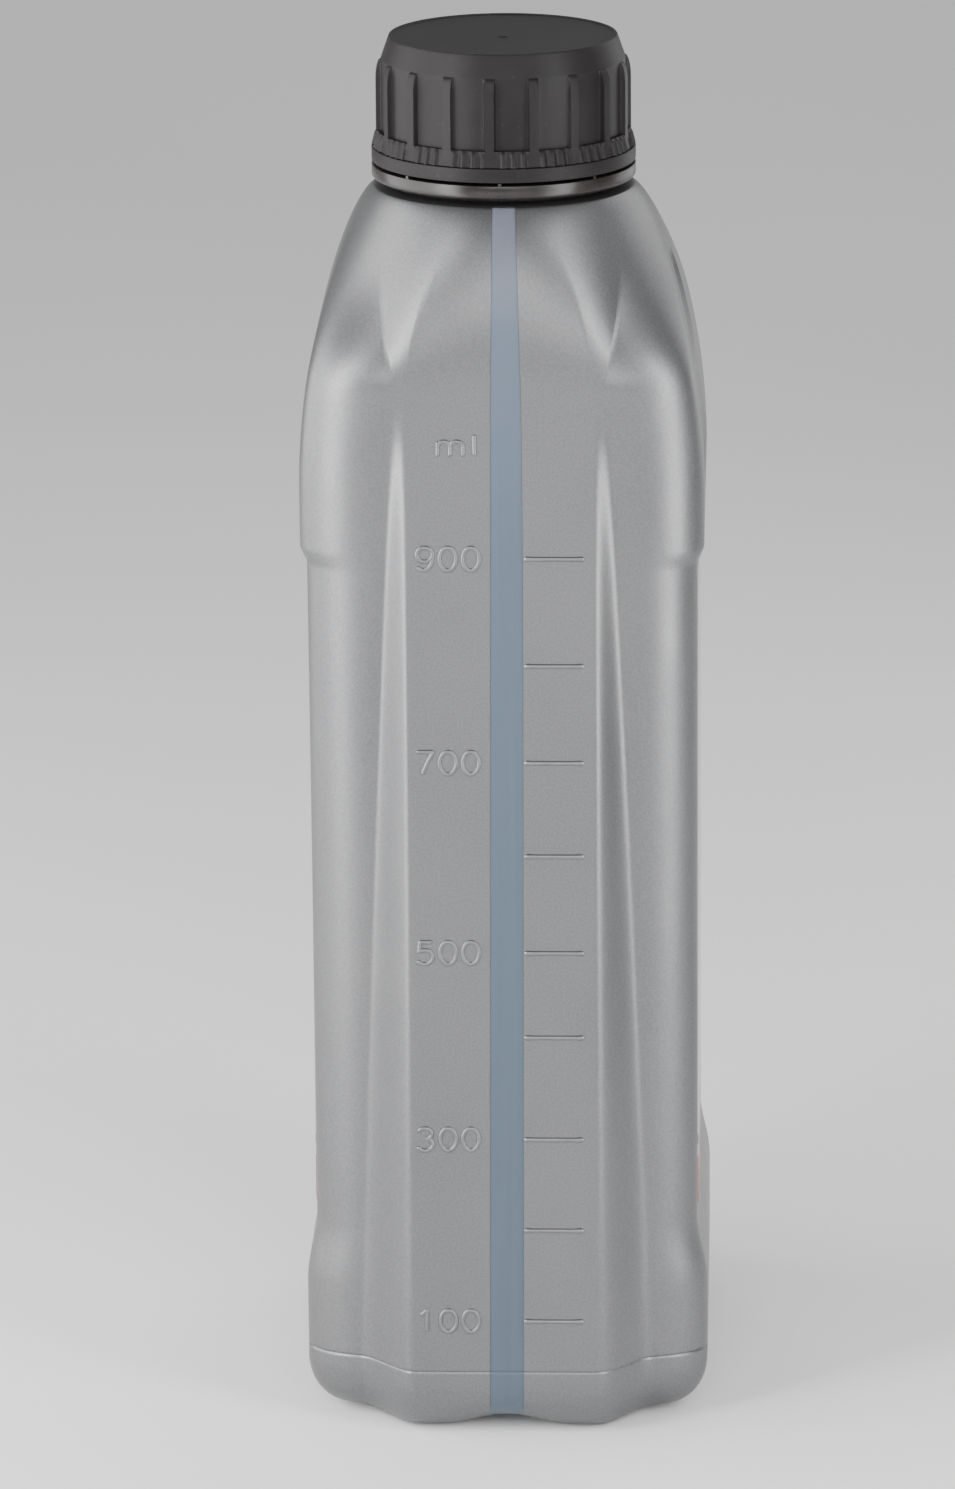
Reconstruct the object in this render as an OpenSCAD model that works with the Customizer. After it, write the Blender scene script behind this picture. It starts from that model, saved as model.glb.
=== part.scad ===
// One litre fluid bottle: a blown body with a raised level scale, a ribbed screw cap
// with its liner and tamper band, and a label on each wide face.
// The origin is under the middle of the body at the standing plane, with +Z up.
// The graduated narrow side faces -Y, and the wide faces look along +X and -X.
// The neck stands off the middle, nearer to the graduated side.

/* [Body] */
// Length of the body between its two narrow sides
body_l = 100; // [94:1:108]
// Width of the body between its two wide faces, at the shoulder
body_w = 69.4; // [65:0.1:73]
// The same width at the base
base_w = 70.7; // [66:0.1:74]
// Height of the blown body, up to the ledge at the foot of the neck
body_h = 218; // [208:0.5:228]
// Thickness of the blown wall
wall = 1; // [0.8:0.1:1.3]
// Height over which the wide faces draw in to the neck
shoulder_side_h = 50; // [45:0.5:54]
// Height over which the graduated side draws in to the neck
shoulder_front_h = 29; // [25:0.5:33]
// Height over which the other narrow side draws in to the neck
shoulder_back_h = 58; // [50:0.5:64]
// Height by which the shoulder drops for each millimetre behind the neck
shoulder_drop = 0.25; // [0.1:0.05:0.4]
// Height below the ledge over which the outline turns into a circle
shoulder_round_h = 30; // [20:1:34]

/* [Base] */
// How far the rounded bottom edge draws in
base_edge_in = 8; // [6.5:0.5:8.5]
// Height of the rounded bottom edge
base_edge_h = 10; // [8:0.5:12]
// Height of the arch between the two standing strips
arch_h = 2; // [1:0.25:3]
// Width of each flat standing strip
foot_w = 4.4; // [3:0.2:6]
// Rise of the underside outside the standing strips
side_rise = 0.8; // [0.4:0.1:1.2]

/* [Narrow sides] */
// Width of the flat spine down the middle of each narrow side
spine_w = 31.6; // [28:0.1:33]
// How far the shallow lobes beside the spine stand back from it at the base
step_in = 7.8; // [6:0.1:9]
// Width of the curved step between spine and lobe at the base
step_w = 10.5; // [9:0.5:11.5]
// Width of the same step where it begins, below the shoulder
step_top_w = 2.4; // [1.5:0.1:3.5]
// Height at which the step begins
step_top_z = 187; // [180:1:190]
// Reach of the rounded vertical corner across the narrow side
corner_w = 14; // [12.5:0.5:15]
// Reach of the rounded vertical corner along the wide face
corner_l = 8; // [7.5:0.5:11]

/* [Label panel] */
// Depth of the label panel below the shoulder
recess = 1.15; // [0.9:0.05:2]
// Height of the lower end of the flat panel
panel_z = 36.3; // [33:0.1:39]
// Height of the slope below the panel
slope_low_h = 12; // [9:0.5:13]
// Height of the slope above the panel
slope_top_h = 3.5; // [3:0.5:6]

/* [Level scale] */
// Number of level marks
mark_n = 9; // [7:1:9]
// Height of the lowest mark
mark_z = 21.5; // [18:0.1:24]
// Distance between the first two marks
mark_pitch = 16.6; // [15:0.05:17]
// Growth of that distance from one mark to the next
mark_growth = 0.15; // [0:0.05:0.3]
// Length of a mark
mark_l = 11; // [8:0.2:11.2]
// Height of a mark
mark_h = 0.9; // [0.6:0.1:1.4]
// How far a mark stands out of the spine
mark_out = 0.35; // [0.2:0.05:0.5]
// Distance from the middle of the spine to the near end of a mark
mark_off = 3.4; // [3.2:0.1:4]

/* [Neck] */
// Distance of the neck axis from the middle of the body, towards the graduated side
neck_off = 18; // [12:0.5:20]
// Outer diameter of the neck
neck_d = 36; // [34:0.5:37]
// Diameter of the pouring mouth
mouth_d = 31.5; // [29:0.5:32]
// Height of the neck above the ledge
neck_h = 22.9; // [21:0.1:26]
// Diameter of the ledge at the foot of the neck
ledge_d = 45; // [43:0.5:46]
// How far the bead that holds the tamper band stands out of the neck
bead_out = 1.4; // [1:0.1:1.6]
// Height of that bead
bead_h = 1.6; // [1.2:0.1:2]
// Depth of the thread on the neck
thread_out = 1.1; // [0.8:0.1:1.3]
// Height of the thread at its root
thread_h = 2; // [1.6:0.1:2.4]
// Pitch of the thread
thread_pitch = 4.2; // [3.6:0.1:4.6]
// Number of turns of the thread
thread_turns = 1.75; // [1:0.25:2.25]
// Distance from the mouth down to the end of the thread
thread_off = 2.6; // [2:0.1:4]

/* [Cap] */
// Radial clearance between the bead and the bore of the cap
cap_fit = 0.5; // [0.3:0.1:0.8]
// Thickness of the cap wall between its ribs
cap_wall = 1.1; // [0.9:0.1:1.5]
// Thickness of the top of the cap
cap_top_t = 1.5; // [1.2:0.1:2]
// Height of the rim around the top of the cap
rim_h = 0.3; // [0.2:0.1:0.6]
// Width of that rim
rim_w = 0.7; // [0.5:0.1:1.2]
// Height of the smooth cone above the ribs
cone_h = 4; // [3:0.2:5]
// How far that cone draws in
cone_in = 1.4; // [1:0.1:2]
// Number of grip ribs
rib_n = 18; // [12:1:24]
// Width of a grip rib
rib_w = 1.75; // [1.2:0.05:2.4]
// How far the ribs stand out of the wall
rib_out = 0.95; // [0.6:0.05:1.2]
// Height of the rounded head of a rib
rib_head = 3.5; // [2:0.1:4]
// Turn of the ribs about the neck axis, in degrees
rib_turn = 5.5; // [0:0.5:19.5]
// Height of the smooth ring at the foot of the cap
ring_h = 2.6; // [2:0.1:3.2]
// How far that ring stands out of the wall
ring_out = 1.75; // [1.5:0.05:2]
// Height of the knurled collar above the ring
collar_h = 2.65; // [2:0.05:3.2]
// Number of teeth around the collar
knurl_n = 80; // [60:4:90]
// Depth of the teeth
knurl_depth = 0.4; // [0.25:0.05:0.5]
// Diameter of the moulding gate nub on the top
gate_d = 1.8; // [1:0.1:2.4]
// Height of the gate nub
gate_h = 0.2; // [0.1:0.05:0.25]
// Thickness of the sealing liner
liner_t = 1.2; // [0.8:0.1:1.8]
// Clearance around the liner
liner_fit = 0.2; // [0.1:0.05:0.4]

/* [Tamper band] */
// Height of the tamper band
band_h = 2.7; // [2.2:0.1:3.2]
// Gap between the band and the cap
band_gap = 0.5; // [0.35:0.05:0.7]
// Clearance between the band and the ledge under it
band_fit = 1.1; // [0.8:0.1:1.4]
// Height of the chamfer at the lower edge of the band
band_chamfer = 0.7; // [0.4:0.1:1]
// Clearance between the inner lip of the band and the neck
lip_fit = 0.5; // [0.4:0.05:0.6]
// Height of that inner lip
lip_h = 1.1; // [0.8:0.1:1.3]
// Number of small bridges that once joined band and cap
bridge_n = 8; // [6:1:12]
// Width of a bridge
bridge_w = 0.6; // [0.4:0.1:1]
// Clearance between a bridge and the cap
bridge_fit = 0.05; // [0.03:0.01:0.1]

/* [Labels] */
// Width of a label
label_w = 68; // [56:1:69]
// Height of a label
label_h = 117.5; // [100:0.5:122]
// Distance from a label to the end of the panel that holds it
label_gap = 1; // [0.5:0.1:5]
// Thickness of a label
label_t = 0.15; // [0.1:0.05:0.3]
// Radius of the corners of a label
label_r = 3; // [1:0.5:6]

/* [Hidden] */
$fn = 72;

half_l = body_l / 2;
half_w = body_w / 2;
neck_r = neck_d / 2;
mouth_r = mouth_d / 2;
ledge_r = ledge_d / 2;
spine_x = spine_w / 2;
base_out = (base_w - body_w) / 2;
panel_h = label_h + 2 * label_gap;
panel_top_z = panel_z + panel_h;
side_z = body_h - shoulder_side_h;
front_z = body_h - shoulder_front_h;
back_z = body_h - shoulder_back_h;

mouth_z = body_h + neck_h;
band_z = body_h + band_fit;
cap_z = band_z + band_h + band_gap;
cap_top = mouth_z + liner_t + cap_top_t + rim_h;
bead_r = neck_r + bead_out;
cap_bore_r = bead_r + cap_fit;
cap_r = cap_bore_r + cap_wall;
ring_r = cap_r + ring_out;
collar_z = cap_z + ring_h;
cone_z = cap_top - cone_h;
lip_r = neck_r + lip_fit;
lip_z = band_z + band_chamfer;
bead_fit = 0.3;
bead_z = lip_z + lip_h + bead_fit;

// Small overlap with which one solid is fused into another
fuse = 0.4;
// How far the skin leans at the shoulder, for its inside
skin_lean = 0.7;
// How far the mouth widens inside the ledge
throat_out = 0.3;
// How far a bridge stands back from the faces of the cap wall
bridge_in = 0.3;
// How far the teeth stand back from the smooth ring
knurl_in = 0.05;

function mix(a, b, t) = a + (b - a) * t;
function clamp01(t) = max(0, min(1, t));
function ease(t) = let (u = clamp01(t)) u * u * (3 - 2 * u);

// Draw-in of the rounded bottom edge at height z, for a skin that lies t inside the body
function edge_in(z, t) =
    let (h = base_edge_h - t, u = clamp01((h - (z - t)) / h))
    (base_edge_in - t) * (1 - sqrt(1 - u * u));

// Depth of the label panel at height z
function panel_in(z) =
    recess * ease((z - panel_z + slope_low_h) / slope_low_h)
    * (1 - ease((z - panel_top_z) / slope_top_h));

// How much wider the base is than the shoulder
function flare_at(z) = base_out * (1 - ease((z - panel_z + slope_low_h) / slope_low_h));

// Reach of a face at height z, from full at from_z to its place at the neck
function reach(z, half, neck, from_z, bulge) =
    let (u = clamp01((z - from_z) / (body_h - from_z)))
    mix(neck, half, pow(1 - u * u, bulge));
side_bulge = 0.76;
front_bulge = 0.8;
back_bulge = 0.8;

// Height at which the outer skin is looked up for a point on a skin t inside it
function lifted(z, t) = z > side_z ? min(body_h, z + skin_lean * t) : z;
function width_at(z, t) =
    reach(lifted(z, t), half_w, ledge_r, side_z, side_bulge)
    + flare_at(z) - panel_in(z) - edge_in(z, t) - t;
function front_at(z) = reach(z, half_l, ledge_r + neck_off, front_z, front_bulge);
function back_at(z) = reach(z, half_l, ledge_r - neck_off, back_z, back_bulge);
function length_at(z, t) =
    (front_at(lifted(z, t)) + back_at(lifted(z, t))) / 2 - edge_in(z, t) - t;
function middle_at(z, t) = (back_at(lifted(z, t)) - front_at(lifted(z, t))) / 2;

// Share of the width that is left behind the neck, where the shoulder drops
function taper_at(y, z) =
    let (behind = max(0, y + neck_off), drop = behind * behind / (behind + ledge_r))
    reach(z + shoulder_drop * drop, half_w, ledge_r, side_z, side_bulge)
    / reach(z, half_w, ledge_r, side_z, side_bulge);

// Step between spine and lobe
function step_part(z) = clamp01(z / step_top_z);
function step_in_at(z) = step_in * (1 - pow(step_part(z), 2));
function step_w_at(z) = mix(step_top_w, step_w, pow(1 - step_part(z), 0.8));
function step_x_at(t) = spine_x - t / 2;

// Outline of the narrow side: distance from the middle plane at a place x across it
function side_line(x, z, t) =
    let (w = width_at(z, t),
         cx = w - (corner_w - t - edge_in(z, t) - panel_in(z)),
         cl = corner_l - t - edge_in(z, t),
         u = clamp01((x - cx) / (w - cx)))
    length_at(z, t)
    - step_in_at(z) * ease((x - step_x_at(t)) / step_w_at(z))
    - cl * (1 - sqrt(1 - u * u));

// Places of the outline's points: across the spine, over the step, round the corner
// and along the wide face
spine_parts = [0, 0.24, 0.48, 1 - foot_w / spine_x, 1];
step_n = 5;
corner_n = 6;
wide_n = 2;
quarter_n = len(spine_parts) - 1 + step_n + corner_n + wide_n;
ring_n = 4 * quarter_n;

function across(i, z, t) =
    let (s = step_x_at(t), e = s + step_w_at(z), a = len(spine_parts) - 1)
    i <= a ? s * spine_parts[i]
    : i <= a + step_n ? mix(s, e, (i - a) / step_n)
    : i <= a + step_n + corner_n
        ? mix(e, width_at(z, t), sin(90 * (i - a - step_n) / corner_n))
    : width_at(z, t);

function along(i, z, t) =
    let (k = quarter_n - i)
    k >= wide_n ? side_line(across(i, z, t), z, t)
    : side_line(width_at(z, t), z, t) * k / wide_n;

// Near the neck the outline turns into a circle
function roundness(z) = ease((z - body_h + shoulder_round_h) / shoulder_round_h);
function quarter_point(i, z, t) =
    let (m = roundness(z), a = 90 * i / quarter_n)
    [mix(across(i, z, t), width_at(z, t) * sin(a), m),
     mix(along(i, z, t), length_at(z, t) * cos(a), m)];

// The underside: an arch between two flat strips, and a slight rise outside them
function underside(x) =
    let (u = abs(x), inner = spine_x - foot_w)
    u < inner ? arch_h * (1 + cos(180 * u / inner)) / 2
    : u <= spine_x ? 0
    : side_rise * ease((u - spine_x) / (half_w + base_out - base_edge_in - spine_x));

function lift(x, z, t) =
    z >= base_edge_h ? z
    : z + underside(x) * pow(1 - (z - t) / (base_edge_h - t), 2);

// One closed ring of the skin at height z, from the middle of the -Y side towards +X
function ring(z, t) =
    [for (i = [0 : ring_n - 1])
        let (q = floor(i / quarter_n), k = i % quarter_n,
             j = q % 2 == 0 ? k : quarter_n - k,
             p = quarter_point(j, z, t),
             y = middle_at(z, t) + (q == 0 || q == 3 ? -p[1] : p[1]),
             x = (q < 2 ? p[0] : -p[0]) * taper_at(y, z))
        [x, y, lift(x, z, t)]];

function circle_ring(r, z) =
    [for (i = [0 : ring_n - 1])
        let (a = 360 * i / ring_n) [r * sin(a), -neck_off - r * cos(a), z]];

// Heights of the rings: a rounded edge, the wall, the panel's slopes and the shoulder
function edge_rows(t, n) =
    [for (i = [0 : n]) t + (base_edge_h - t) * (1 - cos(90 * i / n))];
function even_rows(z0, z1, n) = [for (i = [1 : n]) mix(z0, z1, i / n)];
function dome_rows(z0, z1, n) = [for (i = [1 : n]) mix(z0, z1, sin(90 * i / n))];
function rows(t, edge_n, slope_n, wall_n, low_n, high_n, top) = concat(
    edge_rows(t, edge_n),
    [panel_z - slope_low_h],
    even_rows(panel_z - slope_low_h, panel_z, slope_n),
    even_rows(panel_z, panel_top_z, wall_n),
    even_rows(panel_top_z, panel_top_z + slope_top_h, slope_n),
    even_rows(panel_top_z + slope_top_h, front_z, low_n),
    dome_rows(front_z, top, high_n));

outer_rows = rows(0, 6, 4, 7, 5, 11, body_h);
inner_rows = rows(wall, 4, 2, 5, 3, 6, body_h - wall);
throat_r = mouth_r + throat_out;

// Closed skin of the blown body: outside from the base up, ledge, inside back down
body_rings = concat(
    [for (z = outer_rows) ring(z, 0)],
    [circle_ring(throat_r, body_h), circle_ring(throat_r, body_h - wall)],
    [for (i = [len(inner_rows) - 1 : -1 : 0]) ring(inner_rows[i], wall)]);

// A floor closes its ring with strips that run along Y. On a ring that starts in the
// middle of the -Y side, points i and half - i face each other across Y. The last
// strip ends on the straight wide face, and is a fan from its corner.
function floor_faces(start, down) =
    let (half = 2 * quarter_n, corner = quarter_n - wide_n - 1)
    [for (side = [0, half])
        let (at = function (i) start + (side + i) % ring_n)
        each concat(
            [for (i = [0 : corner - 1])
                faced([at(i), at(i + 1), at(half - i - 1), at(half - i)], down)],
            [for (k = [corner + 1 : half - corner - 1])
                faced([at(corner), at(k), at(k + 1)], down)])];
function faced(face, down) = down ? face : [for (k = [len(face) - 1 : -1 : 0]) face[k]];

module body_skin() {
    count = len(body_rings);
    last = (count - 1) * ring_n;
    walls = [for (r = [0 : count - 2], i = [0 : ring_n - 1])
        let (a = r * ring_n + i, b = r * ring_n + (i + 1) % ring_n)
        each [[a, a + ring_n, b + ring_n], [a, b + ring_n, b]]];
    polyhedron(
        points = [for (r = body_rings) each r],
        faces = concat(walls, floor_faces(0, true), floor_faces(last, false)));
}

// Places what stands on the neck axis
module at_neck() {
    translate([0, -neck_off, 0])
        children();
}

module neck() {
    rotate_extrude()
        polygon([
            [mouth_r, body_h - fuse], [neck_r, body_h - fuse], [neck_r, bead_z],
            [bead_r, bead_z], [bead_r, bead_z + bead_h / 2], [neck_r, bead_z + bead_h],
            [neck_r, mouth_z], [mouth_r, mouth_z]]);
}

// Thread: sections of a ridge that winds up the neck and runs out into it at both ends
thread_n = 63;
thread_run = 4;
thread_root_r = neck_r - fuse;
thread_z = mouth_z - thread_off - thread_h / 2 - thread_pitch * thread_turns;
thread_points = [for (i = [0 : thread_n])
    let (a = 360 * thread_turns * i / thread_n,
         z = thread_z + thread_pitch * thread_turns * i / thread_n,
         m = min(1, i / thread_run, (thread_n - i) / thread_run),
         r = mix(neck_r - fuse / 2, neck_r + thread_out, m))
    each [for (p = [[thread_root_r, -thread_h / 2], [r, -thread_h / 5],
                    [r, thread_h / 5], [thread_root_r, thread_h / 2]])
        [p[0] * cos(a), p[0] * sin(a), z + p[1]]]];

module neck_thread() {
    last = 4 * thread_n;
    polyhedron(
        points = thread_points,
        faces = concat(
            [for (i = [0 : thread_n - 1], k = [0 : 3])
                let (a = 4 * i + k, b = 4 * i + (k + 1) % 4)
                each [[a, b, b + 4], [a, b + 4, a + 4]]],
            [[3, 2, 1, 0], [last, last + 1, last + 2, last + 3]]));
}

function mark_at(i) = mark_z + mark_pitch * i + mark_growth * i * i / 2;

module level_marks() {
    for (i = [0 : mark_n - 1])
        translate([mark_off, -half_l - mark_out, mark_at(i) - mark_h / 2])
            cube([mark_l, mark_out + fuse, mark_h]);
}

module bottle() {
    color([0.62, 0.63, 0.65])
        union() {
            body_skin();
            at_neck() {
                neck();
                neck_thread();
            }
            level_marks();
        }
}

module tamper_band() {
    color([0.13, 0.12, 0.12]) at_neck() {
        rotate_extrude()
            polygon([
                [lip_r, lip_z], [cap_bore_r, band_z], [ring_r - band_chamfer, band_z],
                [ring_r, band_z + band_chamfer], [ring_r, band_z + band_h],
                [cap_bore_r, band_z + band_h], [cap_bore_r, lip_z + lip_h],
                [lip_r, lip_z + lip_h]]);
        for (i = [0 : bridge_n - 1])
            rotate(360 * i / bridge_n)
                translate([cap_bore_r + bridge_in, -bridge_w / 2, band_z + band_h - fuse])
                    cube([ring_r - cap_bore_r - 3 * bridge_in, bridge_w,
                          fuse + band_gap - bridge_fit]);
    }
}

module cap_liner() {
    color([0.85, 0.84, 0.8])
        at_neck()
            translate([0, 0, mouth_z])
                cylinder(r = cap_bore_r - liner_fit, h = liner_t);
}

module cap_core() {
    top_r = cap_r - cone_in;
    rotate_extrude()
        polygon([
            [0, mouth_z + liner_t], [cap_bore_r, mouth_z + liner_t], [cap_bore_r, cap_z],
            [ring_r, cap_z], [ring_r, collar_z], [cap_r, collar_z], [cap_r, cone_z],
            [top_r, cap_top], [top_r - rim_w, cap_top], [top_r - rim_w, cap_top - rim_h],
            [0, cap_top - rim_h]]);
}

// Ribs with rounded heads, cut from one turned form
module grip_ribs() {
    head_z = cone_z - rib_head;
    intersection() {
        rotate_extrude()
            polygon(concat(
                [[cap_bore_r + fuse, collar_z], [cap_r + rib_out, collar_z]],
                [for (a = [0 : 15 : 90])
                    [cap_r + rib_out * cos(a) - fuse / 4 * sin(a),
                     head_z + rib_head * sin(a)]],
                [[cap_bore_r + fuse, cone_z]]));
        for (i = [0 : rib_n - 1])
            rotate(rib_turn + 360 * i / rib_n)
                translate([cap_bore_r, -rib_w / 2, collar_z])
                    cube([cap_wall + rib_out + fuse, rib_w, cone_z - collar_z]);
    }
}

module knurled_collar() {
    tip_r = ring_r - knurl_in;
    root_r = tip_r - knurl_depth;
    translate([0, 0, collar_z])
        linear_extrude(height = collar_h)
            difference() {
                polygon([for (i = [0 : 2 * knurl_n - 1])
                    let (a = 180 * i / knurl_n, r = i % 2 == 0 ? tip_r : root_r)
                    [r * cos(a), r * sin(a)]]);
                circle(r = cap_r - fuse);
            }
}

module cap() {
    color([0.16, 0.15, 0.15]) at_neck()
        union() {
            cap_core();
            grip_ribs();
            knurled_collar();
            translate([0, 0, cap_top - rim_h - fuse])
                cylinder(d = gate_d, h = gate_h + fuse);
        }
}

// A flat label with round corners, standing on the plane x = 0 towards +X
module label_film() {
    inner_w = label_w - 2 * label_r;
    inner_h = label_h - 2 * label_r;
    rotate([90, 0, 90])
        linear_extrude(height = label_t)
            union() {
                square([label_w, inner_h], center = true);
                square([inner_w, label_h], center = true);
                for (x = [-1, 1], y = [-1, 1])
                    translate([x * inner_w / 2, y * inner_h / 2])
                        circle(r = label_r, $fn = 24);
            }
}

module front_label() {
    color([0.72, 0.1, 0.12])
        translate([half_w - recess, 0, panel_z + panel_h / 2])
            label_film();
}

module back_label() {
    color([0.85, 0.85, 0.86])
        translate([-half_w + recess, 0, panel_z + panel_h / 2])
            mirror([1, 0, 0])
                label_film();
}

bottle();
tamper_band();
cap_liner();
cap();
front_label();
back_label();
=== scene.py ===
"""Visual model of a one litre fluid bottle: blown body with a view strip and a raised
level scale, tamper band, screw cap with liner, and two label films."""
import math
import bpy
import numpy as np
from mathutils import Matrix, Vector


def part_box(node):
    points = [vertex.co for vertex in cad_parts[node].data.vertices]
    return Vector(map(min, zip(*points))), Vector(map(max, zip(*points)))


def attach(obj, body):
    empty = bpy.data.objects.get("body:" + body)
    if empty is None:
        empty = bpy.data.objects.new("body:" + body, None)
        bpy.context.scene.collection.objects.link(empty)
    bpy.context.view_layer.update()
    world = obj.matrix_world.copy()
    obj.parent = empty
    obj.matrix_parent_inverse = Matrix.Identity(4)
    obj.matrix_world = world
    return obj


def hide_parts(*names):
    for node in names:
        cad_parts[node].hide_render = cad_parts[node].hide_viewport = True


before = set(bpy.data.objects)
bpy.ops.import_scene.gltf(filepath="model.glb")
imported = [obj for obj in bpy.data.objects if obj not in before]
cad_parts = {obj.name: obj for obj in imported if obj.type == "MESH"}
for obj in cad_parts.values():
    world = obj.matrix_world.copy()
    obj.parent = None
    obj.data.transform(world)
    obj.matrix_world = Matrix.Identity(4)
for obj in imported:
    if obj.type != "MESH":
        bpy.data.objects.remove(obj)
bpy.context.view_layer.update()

MM = 0.001

# Sizes in millimetres, as in the part's source
HALF_L, HALF_W, BASE_OUT, BODY_H = 50.0, 34.7, 0.65, 218.0
SIDE_Z, FRONT_Z, BACK_Z = 168.0, 189.0, 160.0
SIDE_BULGE, END_BULGE, SHOULDER_DROP = 0.76, 0.8, 0.25
EDGE_IN, EDGE_H = 8.0, 10.0
ARCH_H, FOOT_W, SIDE_RISE = 2.0, 4.4, 0.8
SPINE_X, STEP_IN, STEP_W, STEP_TOP_W, STEP_TOP_Z = 15.8, 7.8, 10.5, 2.4, 187.0
CORNER_W, CORNER_L = 14.0, 8.0
RECESS, PANEL_Z, PANEL_TOP, SLOPE_LOW, SLOPE_TOP = 1.15, 36.3, 155.8, 12.0, 3.5
ROUND_H, SKIN_LEAN, WALL = 30.0, 0.7, 1.0
NECK_OFF, LEDGE_R, NECK_R, MOUTH_R, MOUTH_Z = 18.0, 22.5, 18.0, 15.75, 240.9
BEAD_R, BEAD_Z, BEAD_H = 19.4, 221.2, 1.6
BAND_Z, BAND_H, BAND_GAP = 219.1, 2.7, 0.5
THREAD_OUT, THREAD_H, THREAD_PITCH, THREAD_TURNS, THREAD_OFF = 1.0, 2.0, 4.2, 1.75, 2.6
CAP_Z, CAP_TOP, CAP_R, CAP_BORE, RING_R = 222.3, 243.9, 21.0, 19.9, 22.75
RING_H, COLLAR_H, CONE_H, CONE_IN = 2.6, 2.65, 4.0, 1.4
RIB_N, RIB_W, RIB_OUT, RIB_HEAD, RIB_TURN = 18, 1.75, 0.95, 3.5, 5.5
KNURL_N, KNURL_OUT, KNURL_STEPS = 80, 0.40, 8
BRIDGE_N, BRIDGE_FREE = 8, 0.05

# Fine lines that the solids leave out: base insert, pinched seam, ridges on the shoulder
PARTING_Z, PARTING_DEEP, PARTING_W = 12.0, 0.16, 0.17
PINCH_X, PINCH_OUT, PINCH_W = 0.3, 0.55, 0.55
RIDGE_F, RIDGE_OUT, RIDGE_W = [0.80, 0.66, 0.52], 0.34, 0.012
RIDGE_LOW, RIDGE_HIGH = (167, 9), (203, 7)

# Places along a quarter of the outline, from the middle of a narrow side to that of a
# wide face: end of the spine, of the slope beside it, and of the corner, then the whole
Q_SPINE, Q_SLOPE, Q_CORNER, Q_ALL = 4, 9, 15, 17


def mix(a, b, t):
    return a + (b - a) * t


def ease(t):
    u = np.clip(t, 0, 1)
    return u * u * (3 - 2 * u)


# Mesh helpers

class Solid:
    """Collects vertices in millimetres and faces, and becomes one object."""

    def __init__(self):
        self.points, self.faces = [], []

    def add(self, points):
        start = len(self.points)
        self.points.extend(tuple(p) for p in points)
        return list(range(start, start + len(points)))

    def band(self, low, high, flip=False):
        """Quads between two closed rings."""
        n = len(low)
        for i in range(n):
            j = (i + 1) % n
            q = (low[i], low[j], high[j], high[i])
            self.faces.append(q[::-1] if flip else q)

    def fan(self, ring, flip=False):
        self.faces.append(tuple(ring[::-1] if flip else ring))

    def make(self, name, material, smooth):
        """smooth is the angle in degrees above which an edge is sharp."""
        mesh = bpy.data.meshes.new(name)
        co = [(x * MM, y * MM, z * MM) for x, y, z in self.points]
        mesh.from_pydata(co, [], self.faces)
        mesh.validate()
        mesh.materials.append(material)
        obj = bpy.data.objects.new(name, mesh)
        bpy.context.scene.collection.objects.link(obj)
        mesh.shade_smooth()
        mesh.set_sharp_from_angle(angle=math.radians(smooth))
        return obj


def around(r, a, z):
    """Point on a circle about the neck axis, at angle a from its -Y side."""
    return r * math.sin(a), -NECK_OFF - r * math.cos(a), z


def lathe(solid, profile, angles):
    """Closed surface of revolution from a closed (radius, height) profile."""
    rings = [solid.add([around(r, a, z) for a in angles]) for r, z in profile]
    for low, high in zip(rings, rings[1:] + rings[:1]):
        solid.band(low, high)


def turn(n):
    return [2 * math.pi * i / n for i in range(n)]


# Body surface

def edge_in(z, t):
    """How far the rounded lower edge draws the outline in."""
    h = EDGE_H - t
    u = np.clip((h - (z - t)) / h, 0, 1)
    return (EDGE_IN - t) * (1 - math.sqrt(1 - u * u))


def panel_in(z):
    """Depth of the label panel."""
    return float(RECESS * ease((z - PANEL_Z + SLOPE_LOW) / SLOPE_LOW)
                 * (1 - ease((z - PANEL_TOP) / SLOPE_TOP)))


def flare(z):
    """How far the foot stands out past the body."""
    return float(BASE_OUT * (1 - ease((z - PANEL_Z + SLOPE_LOW) / SLOPE_LOW)))


def reach(z, half, neck, start, bulge):
    """Half extent, which the shoulder brings from half down to the neck's ledge."""
    u = np.clip((z - start) / (BODY_H - start), 0, 1)
    return mix(neck, half, (1 - u * u) ** bulge)


def side_reach(z):
    return reach(z, HALF_W, LEDGE_R, SIDE_Z, SIDE_BULGE)


def groove(z):
    """Fine parting line of the base insert."""
    return PARTING_DEEP * math.exp(-((z - PARTING_Z) / PARTING_W) ** 2)


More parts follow.
